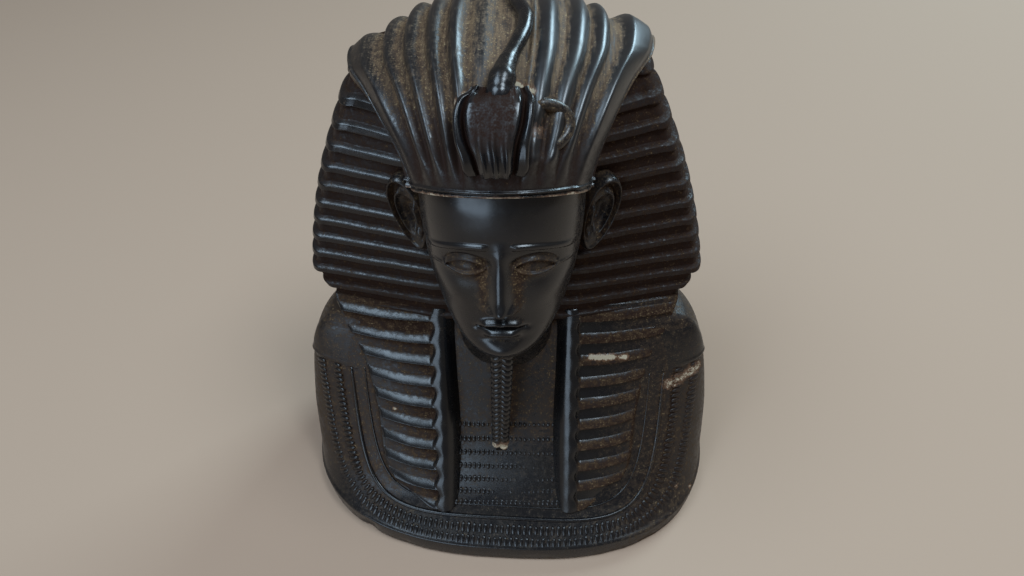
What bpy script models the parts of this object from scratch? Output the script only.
"""Souvenir bust of a pharaoh, one casting that stands on its own flat underside.

Metres, +Z up. The face looks along -Y, +X is the viewer's right, and the origin is the
middle of the underside. Every form is a share of half the broad collar's width.
"""
import bpy
import bmesh
import math
from mathutils import Vector

# Driving size: the width across the broad collar.
COLLAR_WIDTH = 0.150
SHARE = COLLAR_WIDTH / 2

# Carving depths and spacing, in shares of half the collar's width.
RIB_PITCH = 0.0894
RIB_DEPTH = 0.021
LAPPET_GROOVE = 0.026
FIRST_RIB_TOP = 0.233
CROWN_RIDGE_HEIGHT = 0.030
BEAD_ROD = 0.016
# The head stands a little to the right of the shoulders, whose front edge runs slightly askew.
HEAD_ASIDE = 0.012
FRONT_SKEW = 0.050
# Rows of the broad collar: half width, depth in front and squareness of each, thickness in rods.
COLLAR_ROWS = (
    ("collar_outer_beads", 0.881, 0.701, 2.80, 1.00),
    ("collar_inner_beads", 0.800, 0.652, 3.20, 1.35),
    ("collar_fillet", 0.725, 0.605, 3.70, 0.70),
)
# The collar's rows end at this height, under the terminals' lower edges.
COLLAR_TOP = 0.750
# Rows of beads on the breast, from the first to the last one's y.
BREAST_BEAD_ROWS = 7
BREAST_BEADS_Y = (-0.315, -0.550)
# Each terminal pad runs this far round the shoulder, in degrees from its side.
TERMINAL_SWEEP = 46.0

# Shoulders and breast, one row for each height: half width, depth in front, depth behind.
BREAST = (
    (0.000, 0.975, 0.722, 0.600),
    (0.018, 0.994, 0.735, 0.614),
    (0.092, 1.000, 0.728, 0.616),
    (0.105, 0.992, 0.704, 0.606),
    (0.200, 0.992, 0.558, 0.598),
    (0.350, 0.986, 0.428, 0.585),
    (0.550, 0.960, 0.300, 0.560),
    (0.750, 0.920, 0.195, 0.520),
    (0.870, 0.880, 0.130, 0.480),
    (0.950, 0.810, 0.085, 0.430),
    (0.995, 0.700, 0.055, 0.360),
)
BREAST_POWER = 2.5

# Headcloth below the crown: inner edge x and y, outer face x and y, side edge y, back y.
CLOTH = (
    (0.88, 0.300, -0.080, 0.700, -0.020, 0.060, 0.460),
    (0.95, 0.300, -0.085, 0.750, -0.010, 0.080, 0.490),
    (1.04, 0.300, -0.090, 0.785, 0.000, 0.100, 0.510),
    (1.12, 0.300, -0.088, 0.828, 0.015, 0.115, 0.520),
    (1.18, 0.305, -0.085, 0.858, 0.020, 0.120, 0.530),
    (1.30, 0.310, -0.080, 0.838, 0.025, 0.125, 0.550),
    (1.51, 0.320, -0.080, 0.786, 0.030, 0.130, 0.570),
    (1.71, 0.320, -0.080, 0.722, 0.030, 0.140, 0.580),
    (1.90, 0.320, -0.060, 0.645, 0.050, 0.160, 0.570),
    (2.02, 0.350, -0.010, 0.592, 0.090, 0.190, 0.540),
    (2.10, 0.400, 0.070, 0.550, 0.150, 0.230, 0.480),
    (2.15, 0.440, 0.160, 0.500, 0.200, 0.270, 0.420),
)

# Lappets: outer edge x at each height; the front is a plane that leans back as it rises.
LAPPET_EDGE = (
    (0.190, 0.430),
    (0.215, 0.490),
    (0.250, 0.535),
    (0.350, 0.585),
    (0.550, 0.602),
    (0.700, 0.632),
    (0.810, 0.665),
    (0.940, 0.735),
    (1.050, 0.770),
)
LAPPET_INNER = 0.262
LAPPET_STRIP = 0.054
LAPPET_FOOT_Y = -0.586
LAPPET_LEAN = 0.600

# Crown of the headcloth from the brow over the top to the back of the head:
# middle y and z, then the flange's x, y and z.
CROWN = (
    (0.00, -0.452, 1.988, 0.305, -0.205, 1.838),
    (0.06, -0.462, 2.020, 0.312, -0.190, 1.868),
    (0.20, -0.432, 2.105, 0.333, -0.140, 1.935),
    (0.35, -0.365, 2.185, 0.378, -0.070, 2.020),
    (0.50, -0.245, 2.270, 0.445, 0.030, 2.095),
    (0.62, -0.090, 2.320, 0.507, 0.130, 2.125),
    (0.75, 0.100, 2.340, 0.525, 0.235, 2.130),
    (0.87, 0.320, 2.305, 0.515, 0.350, 2.080),
    (1.00, 0.500, 2.190, 0.460, 0.440, 1.980),
    (1.12, 0.560, 2.050, 0.350, 0.470, 1.890),
    (1.20, 0.500, 1.940, 0.280, 0.400, 1.850),
)
CROWN_CORE = (0.100, 1.850)
CROWN_ROOT = (0.120, 0.120, 1.880)
# The crown's right edge is lifted by this much at most, its left edge lowered.
CROWN_ASKEW = 0.028
# Ridges across the crown: middle and half width, as shares of the way out to the flange.
LEFT_RIDGES = ((-0.27, 0.062), (-0.42, 0.064), (-0.575, 0.064), (-0.73, 0.060))
RIGHT_RIDGES = ((0.31, 0.070), (0.50, 0.072), (0.645, 0.060))
# Rolled flanges: places across the crown, each with its share of the height.
LEFT_FLANGE = ((-1.085, 0.2), (-1.020, 0.9), (-0.920, 1.0), (-0.815, 0.0))
RIGHT_FLANGE = ((1.035, 0.2), (0.950, 0.75), (0.835, 1.0), (0.750, 0.0))
FLANGE_HEIGHT = 0.045
BAND_WIDTH = 0.060
BAND_HEIGHT = 0.012

# Head at each height before it is tilted back: half width, front y, y of the widest place, back y.
HEAD = (
    (1.274, 0.050, -0.385, -0.340, -0.270),
    (1.291, 0.098, -0.422, -0.315, -0.200),
    (1.317, 0.140, -0.440, -0.280, -0.120),
    (1.360, 0.184, -0.447, -0.230, -0.020),
    (1.417, 0.222, -0.445, -0.180, 0.050),
    (1.484, 0.250, -0.446, -0.140, 0.100),
    (1.569, 0.274, -0.450, -0.115, 0.120),
    (1.655, 0.290, -0.452, -0.105, 0.130),
    (1.741, 0.299, -0.456, -0.100, 0.130),
    (1.826, 0.302, -0.457, -0.100, 0.130),
    (1.912, 0.300, -0.450, -0.100, 0.130),
    (2.000, 0.288, -0.425, -0.090, 0.130),
    (2.080, 0.250, -0.380, -0.080, 0.120),
)
# The head tilts back about the middle of the brow band, in degrees.
HEAD_TILT = 10.0
HEAD_PIVOT = (-0.452, 1.955)
HEAD_POWER = 2.25
HEAD_ROWS = 24
FACE_COLUMNS = 20


def row_at(table, height):
    """The rest of a table's row at any height, on a smooth curve that never overshoots."""
    keys = [row[0] for row in table]
    height = min(max(height, keys[0]), keys[-1])
    i = max(k for k in range(len(keys) - 1) if keys[k] <= height)
    span = keys[i + 1] - keys[i]
    t = (height - keys[i]) / span

    def slope(k, column):
        if k == 0 or k == len(keys) - 1:
            return 0.0 if k else (table[1][column] - table[0][column]) / (keys[1] - keys[0])
        before = (table[k][column] - table[k - 1][column]) / (keys[k] - keys[k - 1])
        after = (table[k + 1][column] - table[k][column]) / (keys[k + 1] - keys[k])
        if before * after <= 0:
            return 0.0
        return 2 * before * after / (before + after)

    values = []
    for column in range(1, len(table[0])):
        a, b = table[i][column], table[i + 1][column]
        rise_a, rise_b = slope(i, column) * span, slope(i + 1, column) * span
        values.append(
            a * (1 + 2 * t) * (1 - t) ** 2
            + rise_a * t * (1 - t) ** 2
            + b * t * t * (3 - 2 * t)
            - rise_b * t * t * (1 - t)
        )
    return values


def hump(x, z, middle_x, middle_z, radius_x, radius_z):
    """A smooth round swelling, 1 at its middle."""
    return math.exp(-((x - middle_x) / radius_x) ** 2 - ((z - middle_z) / radius_z) ** 2)


def step_up(low, high, value):
    """0 below low, 1 above high, smooth between."""
    t = min(max((value - low) / (high - low), 0.0), 1.0)
    return t * t * (3 - 2 * t)


def rounded(angle, power):
    """Cosine and sine of a rounded rectangle instead of a circle."""
    c, s = math.cos(angle), math.sin(angle)
    return math.copysign(abs(c) ** (2 / power), c), math.copysign(abs(s) ** (2 / power), s)


def form(name, points, faces):
    """A mesh object among the forms that are joined into the casting."""
    mesh = bpy.data.meshes.new(name)
    mesh.from_pydata([Vector(p) * SHARE for p in points], [], faces)
    mesh.update()
    shape = bpy.data.objects.new(name, mesh)
    forms.objects.link(shape)
    return dress(shape)


def dress(shape):
    """Smooth shading, the casting's finish, and hidden as a form to be joined."""
    shape.data.shade_smooth()
    shape.data.set_sharp_from_angle(angle=math.radians(40))
    shape.data.materials.clear()
    shape.data.materials.append(black_resin)
    shape.hide_render = True
    shape.display_type = "WIRE"
    return shape


def loft(name, rings, middles=(None, None)):
    """A closed skin through rings of points, each counted anticlockwise from above."""
    count = len(rings[0])
    points = [point for ring in rings for point in ring]
    faces = []
    for r in range(len(rings) - 1):
        for i in range(count):
            j = (i + 1) % count
            a, b = r * count + i, r * count + j
            faces.append((a, b, b + count, a + count))
    last = (len(rings) - 1) * count
    for start, middle, turn in ((0, middles[0], -1), (last, middles[1], 1)):
        ring = [start + i for i in range(count)][::turn]
        if middle is None:
            faces.append(ring)
            continue
        points.append(middle)
        tip = len(points) - 1
        faces.extend((ring[i], ring[(i + 1) % count], tip) for i in range(count))
    return form(name, points, faces)


def rod(name, path, radius, ends=1.0):
    """A six-sided bar along a path, with its ends drawn in to a share of the radius."""
    curve = bpy.data.curves.new(name, "CURVE")
    curve.dimensions = "3D"
    curve.bevel_depth = radius * SHARE
    curve.bevel_resolution = 1
    curve.use_fill_caps = True
    spline = curve.splines.new("POLY")
    spline.points.add(len(path) - 1)
    for i, place in enumerate(path):
        spline.points[i].co = (*(Vector(place) * SHARE), 1.0)
        spline.points[i].radius = ends if i in (0, len(path) - 1) else 1.0
    guide = bpy.data.objects.new(name, curve)
    forms.objects.link(guide)
    bpy.context.view_layer.update()
    evaluated = guide.evaluated_get(bpy.context.evaluated_depsgraph_get())
    mesh = bpy.data.meshes.new_from_object(evaluated)
    tidy_normals(mesh)
    bar = bpy.data.objects.new(name, mesh)
    bar.matrix_world = guide.matrix_world
    bpy.data.objects.remove(guide)
    bpy.data.curves.remove(curve)
    forms.objects.link(bar)
    bar.name = name
    return dress(bar)


def tidy_normals(mesh):
    """Merge loose caps with their wall and turn every face outwards."""
    shape = bmesh.new()
    shape.from_mesh(mesh)
    bmesh.ops.remove_doubles(shape, verts=shape.verts, dist=0.00001)
    bmesh.ops.recalc_face_normals(shape, faces=shape.faces)
    shape.to_mesh(mesh)
    shape.free()


def reach_at(share, front, back, ahead):
    """Depth of a level outline ahead or behind, at a share of its half width."""
    return front * (1 + FRONT_SKEW * share) if ahead else back


def breast_slice(height, count=36):
    """One level outline of the shoulders."""
    half_width, front, back = row_at(BREAST, height)
    ring = []
    for i in range(count):
        c, s = rounded(2 * math.pi * i / count, BREAST_POWER)
        ring.append((half_width * c, reach_at(c, front, back, s < 0) * s, height))
    return ring


def breast_height(x, y):
    """Height of the shoulders' and breast's surface in front, at a place seen from above."""
    low, high = 0.1, 0.99
    for _ in range(30):
        height = (low + high) / 2
        half_width, front, back = row_at(BREAST, height)
        reach = abs(x / half_width) ** BREAST_POWER
        reach += abs(y / reach_at(x / half_width, front, back, y < 0)) ** BREAST_POWER
        if reach < 1:
            low = height
        else:
            high = height
    return low


def make_shoulders():
    heights = (0.0, 0.018, 0.092, 0.105, 0.15, 0.20, 0.28, 0.38, 0.52, 0.66, 0.78, 0.87, 0.92, 0.96, 0.995)
    return loft("shoulders", [breast_slice(height) for height in heights])


def collar_path(half_width, front, power, count=30):
    """A row of the broad collar, from one shoulder round the front to the other."""
    path = []
    for i in range(1, count):
        c, s = rounded(-math.pi * i / count, power)
        x, y = half_width * c, reach_at(c, front, front, True) * s
        path.append((x, y, breast_height(x, y)))
    return [place for place in path if place[2] < COLLAR_TOP]


def make_collar():
    rows = []
    for name, half, front, power, thickness in COLLAR_ROWS:
        rows.append(rod(name, collar_path(half, front, power), thickness * BEAD_ROD, ends=0.6))
    return rows


def make_breast_beads():
    """Level rows of beads between the lappets."""
    first, last = BREAST_BEADS_Y
    sunk = BEAD_ROD / 4
    bars = []
    for k in range(BREAST_BEAD_ROWS):
        y = first + (last - first) * k / (BREAST_BEAD_ROWS - 1)
        z = breast_height(0.0, y)
        path = [(x, y + sunk, z - sunk) for x in (-LAPPET_INNER, LAPPET_INNER)]
        bars.append(rod(f"breast_beads_{k}", path, BEAD_ROD))
    return bars


def make_terminals():
    """Plain low pads where the collar ends, lying on each shoulder."""
    set_in = 0.050
    # The share of its height that a pad has at each place from behind the side to its front edge.
    edges = (-0.6, 0.4, 1.0, 1.0, 1.0, 1.0, 0.4, -0.6)
    # Each level of a pad: its height, and how far it stands out of the shoulder.
    levels = ((0.725, -0.004), (0.740, 0.012), (0.790, 0.012), (0.850, 0.010), (0.900, 0.004), (0.935, -0.010))
    pads = []
    for side, name in ((-1, "left_terminal"), (1, "right_terminal")):
        rings = []
        for height, lift in levels:
            half_width, front, back = row_at(BREAST, height)
            outer, inner = [], []
            for k, share in enumerate(edges):
                c, s = rounded(math.radians(-TERMINAL_SWEEP * (k - 1) / (len(edges) - 2)), BREAST_POWER)
                outer.append((side * (half_width + share * lift) * c, (front + share * lift) * s, height))
                inner.append((side * (half_width - set_in) * c, (front - set_in) * s, height))
            ring = inner + outer[::-1]
            rings.append(ring if side > 0 else ring[::-1])
        pad = loft(name, rings)
        tidy_normals(pad.data)
        pads.append(pad)
    return pads


def cloth_slice(height, inset):
    """One level outline of the headcloth, drawn in by the depth of a groove."""
    inner_x, inner_y, outer_x, outer_y, side_y, back_y = row_at(CLOTH, height)
    outer_x -= inset
    inner_y += inset
    outer_y += inset
    back_y -= inset
    turn_x = outer_x - 0.065
    half = [(0.0, inner_y), (inner_x, inner_y), (turn_x, outer_y)]
    half.append((outer_x - 0.018, outer_y + 0.3 * (side_y - outer_y)))
    for k in range(5):
        c, s = rounded(math.radians(20 * k), 2.2)
        half.append((outer_x * c, side_y + (back_y - side_y) * s))
    left = [(-x, y) for x, y in half[-2:0:-1]]
    return [(x, y, height) for x, y in half[:-1] + [(0.0, back_y)] + left]


def rib_levels(bottom, top, shape):
    """Heights and depths of the rings that draw the ribs; shape is one rib's profile."""
    first = math.floor((bottom - FIRST_RIB_TOP) / RIB_PITCH) - 1
    last = math.ceil((top - FIRST_RIB_TOP) / RIB_PITCH) + 1
    levels = []
    for k in range(first, last):
        foot = FIRST_RIB_TOP + (k - 0.52) * RIB_PITCH
        levels += [(foot + share * RIB_PITCH, depth) for share, depth in shape]
    levels = [level for level in levels if bottom < level[0] < top]
    return [(bottom, levels[0][1])] + levels + [(top, 0.0)]


def make_cloth():
    ribs = ((0.0, RIB_DEPTH), (0.22, 0.0), (0.66, 0.0))
    levels = rib_levels(CLOTH[0][0], CLOTH[-1][0], ribs)
    return loft("headcloth", [cloth_slice(height, inset) for height, inset in levels])


def lappet_slice(height, inset, side):
    """One level outline of a lappet; the strip along its inner edge stays plain."""
    outer_x = row_at(LAPPET_EDGE, height)[0]
    front = LAPPET_FOOT_Y + LAPPET_LEAN * (height - LAPPET_EDGE[0][0])
    fall = 0.065
    strip_x = LAPPET_INNER + LAPPET_STRIP
    behind = max(front + 0.110, min(front + 0.300, -0.010))
    outline = [
        (LAPPET_INNER - 0.055, behind),
        (LAPPET_INNER - 0.055, front + 0.095),
        (LAPPET_INNER + 0.008, front),
        (strip_x, front),
        (strip_x + 0.012, front + inset),
        (outer_x - 0.016, front + 0.8 * inset + fall),
        (outer_x, front + fall + 0.030),
        (outer_x, behind),
    ]
    ring = [(side * x, y, height) for x, y in outline]
    return ring if side > 0 else ring[::-1]


def make_lappets():
    ribs = ((0.0, LAPPET_GROOVE), (0.10, 0.0), (0.46, 0.0), (0.56, LAPPET_GROOVE))
    levels = rib_levels(LAPPET_EDGE[0][0], LAPPET_EDGE[-1][0], ribs)
    sides = ((-1, "left_lappet"), (1, "right_lappet"))
    return [loft(name, [lappet_slice(z, inset, side) for z, inset in levels]) for side, name in sides]


def crown_point(across, along, lift=0.0):
    """A place on the crown, lifted off its surface; across runs -1 to 1 between the flanges."""
    middle_y, middle_z, flange_x, flange_y, flange_z = row_at(CROWN, along)
    roundness = 2 - min(along / 0.6, 1.0)
    fall = max(1 - across * across, 0.0) ** (1 / roundness)
    place = Vector((
        flange_x * across,
        flange_y + (middle_y - flange_y) * fall,
        flange_z + (middle_z - flange_z) * fall + CROWN_ASKEW * across ** 3 * step_up(0.2, 0.6, along),
    ))
    core = Vector((0.35 * place.x, *CROWN_CORE))
    return place + (place - core).normalized() * lift + Vector((HEAD_ASIDE, 0.0, 0.0))


def crown_relief(along):
    """Stations across the crown with the height of the ridges there."""
    grown = CROWN_RIDGE_HEIGHT * step_up(0.05, 0.30, along)
    edge = FLANGE_HEIGHT * step_up(-0.1, 0.45, along)
    stations = []
    for place, height in LEFT_FLANGE + RIGHT_FLANGE:
        stations.append((place, height * edge))
    for ridges in (LEFT_RIDGES, RIGHT_RIDGES):
        for k, (middle, half) in enumerate(ridges):
            stations += [(middle - 0.42 * half, grown), (middle + 0.42 * half, grown)]
            groove = middle + math.copysign(half, middle)
            stations.append((groove, 0.0))
            if k == 0:
                stations.append((middle - math.copysign(half, middle), 0.0))
    stations += [(-0.19, 0.0), (-0.15, 0.4 * grown), (-0.09, 0.4 * grown), (-0.05, 0.0), (0.10, 0.0)]
    return sorted(stations)


def make_crown():
    rows = (0.0, 0.055, 0.065, 0.13, 0.21, 0.30, 0.40, 0.51, 0.63, 0.77, 0.90, 1.03, 1.20)
    root_x, root_y, root_z = CROWN_ROOT
    rings = []
    for along in rows:
        band = BAND_HEIGHT if along < BAND_WIDTH else 0.0
        top = [crown_point(u, along, height + band) for u, height in crown_relief(along)]
        for edge, side in ((top[-1], 1), (top[0], -1)):
            top.append(edge.lerp(Vector((side * root_x, root_y, root_z)), 0.55))
        rings.append(top)
    middles = [sum(rings[k], Vector()) / len(rings[k]) for k in (0, -1)]
    return loft("crown", rings, middles)


def face_relief(x, z):
    """How far the face stands forward of the plain egg of the head."""
    ax = abs(x)
    rise = -0.036 * hump(ax, z, 0.122, 1.710, 0.078, 0.048)
    rise -= 0.018 * hump(ax, z, 0.052, 1.727, 0.030, 0.038)
    rise += 0.028 * hump(ax, z, 0.124, 1.705, 0.056, 0.026)
    brow = 1.766 + 0.022 * math.sin(math.pi * min(ax / 0.24, 1.0))
    rise += 0.014 * math.exp(-((z - brow) / 0.013) ** 2) * step_up(0.02, 0.06, ax) * step_up(0.27, 0.22, ax)
    along = min(max((1.769 - z) / 0.230, 0.0), 1.0)
    ridge = (0.014 + 0.072 * along ** 1.3) * step_up(1.817, 1.750, z) * step_up(1.518, 1.550, z)
    rise += ridge * math.exp(-(x / (0.024 + 0.018 * along)) ** 2)
    rise += 0.034 * hump(ax, z, 0.045, 1.552, 0.022, 0.022)
    mouth = step_up(0.098, 0.060, ax)
    lip_top = 1.476 - 0.08 * ax
    rise += 0.024 * math.exp(-((z - lip_top) / 0.016) ** 2) * mouth
    rise += 0.026 * math.exp(-((z - 1.430) / 0.017) ** 2) * step_up(0.088, 0.035, ax)
    rise -= 0.012 * math.exp(-((z - 1.453) / 0.007) ** 2) * mouth
    rise -= 0.012 * hump(x, z, 0.0, 1.396, 0.070, 0.016)
    rise += 0.018 * hump(x, z, 0.0, 1.339, 0.064, 0.034)
    rise += 0.012 * hump(ax, z, 0.165, 1.598, 0.060, 0.060)
    return rise


def tilted(x, y, z):
    """A place on the head once it is tilted back and set aside."""
    turn = math.radians(HEAD_TILT)
    behind, above = y - HEAD_PIVOT[0], z - HEAD_PIVOT[1]
    return (
        x + HEAD_ASIDE,
        HEAD_PIVOT[0] + behind * math.cos(turn) + above * math.sin(turn),
        HEAD_PIVOT[1] - behind * math.sin(turn) + above * math.cos(turn),
    )


def head_slice(height):
    """One level outline of the head, with the face in front."""
    half_width, front, wide, back = row_at(HEAD, height)
    ring = []
    for i in range(FACE_COLUMNS + 1):
        t = i / FACE_COLUMNS
        angle = math.pi + math.pi * (t + 0.035 * math.sin(2 * math.pi * t) * 2)
        c, s = rounded(angle, HEAD_POWER)
        x = half_width * c
        y = wide + (wide - front) * s
        y -= face_relief(x, height) * step_up(0.25, 0.7, -s)
        ring.append(tilted(x, y, height))
    for angle in (0.25 * math.pi, 0.5 * math.pi, 0.75 * math.pi):
        ring.append(tilted(half_width * math.cos(angle), wide + (back - wide) * math.sin(angle), height))
    return ring


def make_head():
    bottom, top = HEAD[0][0], HEAD[-1][0]
    heights = [bottom, 1.286]
    heights += [1.298 + (1.83 - 1.298) * i / HEAD_ROWS for i in range(HEAD_ROWS + 1)]
    heights += [1.89, 1.95, 2.02, top]
    return loft("head", [head_slice(height) for height in heights])


def make_neck():
    # At each height: half width, and y of the front.
    stations = (
        (0.60, 0.250, -0.130),
        (0.76, 0.240, -0.175),
        (0.88, 0.220, -0.190),
        (1.05, 0.208, -0.225),
        (1.36, 0.205, -0.290),
    )
    rings = []
    for height, half, front in stations:
        angles = [2 * math.pi * i / 20 for i in range(20)]
        depth = (0.10 - front) / 2
        rings.append([(half * math.cos(a), front + depth + depth * math.sin(a), height) for a in angles])
    return loft("neck", rings)


def make_ears():
    """Ears pressed forward: a rolled rim round a hollow, with a lobe below."""
    count = 14
    # Each ring's reach, and how far it stands out in front of the ear's plane.
    profile = ((0.80, -0.130), (1.00, -0.010), (0.95, 0.022), (0.76, 0.026), (0.60, -0.006))
    ears = []
    for side, name in ((-1, "left_ear"), (1, "right_ear")):
        lobe = Vector((0.322, -0.125, 1.462))
        crest = Vector((0.398, -0.075, 1.790))
        up = (crest - lobe) / 2
        middle = (crest + lobe) / 2
        out = Vector((0.060, 0.028, -0.012))
        ahead = out.cross(up).normalized()
        rings = []
        for reach, lift in profile:
            ring = []
            for i in range(count):
                angle = 2 * math.pi * i / count
                widen = 1.0 + 0.25 * math.sin(angle)
                place = middle + up * (math.sin(angle) * reach)
                place += out * (math.cos(angle) * reach * widen) + ahead * lift
                ring.append((side * place.x + HEAD_ASIDE, place.y, place.z))
            rings.append(ring)
        deep = middle - ahead * 0.014
        ear = loft(name, rings, (None, (side * deep.x + HEAD_ASIDE, deep.y, deep.z)))
        tidy_normals(ear.data)
        ears.append(ear)
    return ears


def make_beard():
    """Plaited beard from the chin to the breast, on a thin web of casting behind it."""
    rows, count = 13, 10
    top, foot = Vector((0.008, -0.478, 1.290)), Vector((-0.020, -0.445, 0.592))
    rings = []
    for r in range(rows + 1):
        t = r / rows
        middle = foot.lerp(top, t)
        half_width = 0.042 + 0.014 * t
        depth = 0.038 + 0.010 * t
        ring = []
        for i in range(count):
            angle = 2 * math.pi * i / count
            front = abs(math.sin(angle)) > 0.9
            swell = 1.08 if (r % 2 == 0) == front else 0.96
            ring.append((
                middle.x + half_width * swell * math.cos(angle),
                middle.y + depth * swell * math.sin(angle),
                middle.z - 0.012 * (1 - abs(math.cos(angle))),
            ))
        rings.append(ring)
    beard = loft("beard", rings)
    web_rings = []
    for t in (0.0, 0.35, 0.7, 1.0):
        middle = foot.lerp(top, t)
        outline = ((0.024, middle.y), (0.034, -0.17), (-0.034, -0.17), (-0.024, middle.y))
        web_rings.append([(middle.x + x, y, 0.50 + 0.76 * t) for x, y in outline])
    return [beard, loft("beard_web", web_rings)]


def make_cobra():
    """Brow cobra: ribbed hood broken at the top, a loop beside it, its tail on the crown."""
    folds = (-1.0, -0.86, -0.70, -0.56, -0.42, -0.28, -0.14, 0.0, 0.14, 0.28, 0.42, 0.58, 0.74, 0.88, 1.0)
    # Each row up the hood: place along the crown, middle, half width, how far it stands out.
    rows = (
        (0.150, -0.0015, 0.098, 0.022),
        (0.185, -0.0015, 0.106, 0.045),
        (0.240, -0.0040, 0.109, 0.062),
        (0.310, -0.0095, 0.117, 0.075),
        (0.380, -0.0070, 0.124, 0.078),
        (0.435, 0.0020, 0.117, 0.072),
        (0.475, 0.0170, 0.074, 0.062),
    )
    rings = []
    for along, middle, half, stand in rows:
        flange_x = row_at(CROWN, along)[2]
        ribbed = step_up(0.44, 0.26, along)
        ring = []
        for k, fold in enumerate(folds):
            shield = 0.030 * step_up(0.62, 0.40, abs(fold))
            rib = 0.014 * ribbed * (k % 2)
            edge = -0.030 if k in (0, len(folds) - 1) else stand + shield + rib
            ring.append(crown_point((fold * half + middle) / flange_x, along, edge))
        for fold in (0.8, -0.8):
            ring.append(crown_point((fold * half + middle) / flange_x, along, -0.080))
        rings.append(ring)
    hood = loft("cobra_hood", rings)
    loop = []
    for i in range(11):
        angle = math.radians(100 - 170 * i / 10)
        loop.append(crown_point(0.325 + 0.255 * math.cos(angle), 0.342 + 0.088 * math.sin(angle), 0.024))
    # The tail's bends: place across, place along and height off the crown.
    bends = (
        (0.020, 0.455, 0.080),
        (0.035, 0.490, 0.055),
        (0.059, 0.540, 0.036),
        (0.095, 0.580, 0.030),
        (0.131, 0.620, 0.028),
        (0.156, 0.660, 0.026),
        (0.161, 0.695, 0.024),
        (0.147, 0.740, 0.022),
        (0.112, 0.790, 0.020),
        (0.061, 0.870, 0.014),
    )
    tail = [crown_point(u, along, lift) for u, along, lift in bends]
    return [hood, rod("cobra_loop", loop, 0.021, ends=0.6), rod("cobra_tail", tail, 0.028, ends=0.6)]


def make_queue():
    """The gathered end of the headcloth down the back, bound round with cord."""
    foot, top, turns = 0.52, 1.20, 7
    rings = []
    for r in range(2 * turns + 1):
        t = r / (2 * turns)
        height = foot + (top - foot) * t
        half = 0.075 + 0.070 * t
        behind = max(row_at(BREAST, min(height, 0.9))[2], row_at(CLOTH, max(height, 0.9))[5])
        out = (0.050 if r % 2 else 0.034) * step_up(-0.15, 0.25, t) * step_up(1.05, 0.75, t)
        ring = []
        for i in range(10):
            angle = 2 * math.pi * i / 10
            ring.append((half * math.cos(angle), behind - 0.03 + (out + 0.03) * math.sin(angle), height))
        rings.append(ring)
    return loft("queue", rings)


def make_bust():
    """Join every form into the one casting."""
    bust = make_shoulders()
    joined = [make_cloth(), *make_lappets(), make_neck(), make_head(), make_crown()]
    joined += [*make_ears(), *make_beard(), *make_cobra(), make_queue()]
    joined += [*make_collar(), *make_breast_beads(), *make_terminals()]
    for shape in joined:
        union = bust.modifiers.new(shape.name, "BOOLEAN")
        union.operation = "UNION"
        union.solver = "EXACT"
        union.object = shape
    forms.objects.unlink(bust)
    casting.objects.link(bust)
    bust.name = "bust"
    bust.hide_render = False
    bust.display_type = "TEXTURED"


def make_black_resin():
    """Satin black paint over cast resin."""
    finish = bpy.data.materials.new("black_painted_resin")
    finish.use_nodes = True
    shader = finish.node_tree.nodes["Principled BSDF"]
    shader.inputs["Base Color"].default_value = (0.012, 0.011, 0.011, 1.0)
    shader.inputs["Roughness"].default_value = 0.35
    shader.inputs["Metallic"].default_value = 0.0
    return finish


for old in list(bpy.data.objects):
    bpy.data.objects.remove(old)
casting = bpy.data.collections.new("pharaoh_bust")
forms = bpy.data.collections.new("joined_forms")
bpy.context.scene.collection.children.link(casting)
bpy.context.scene.collection.children.link(forms)
black_resin = make_black_resin()
make_bust()
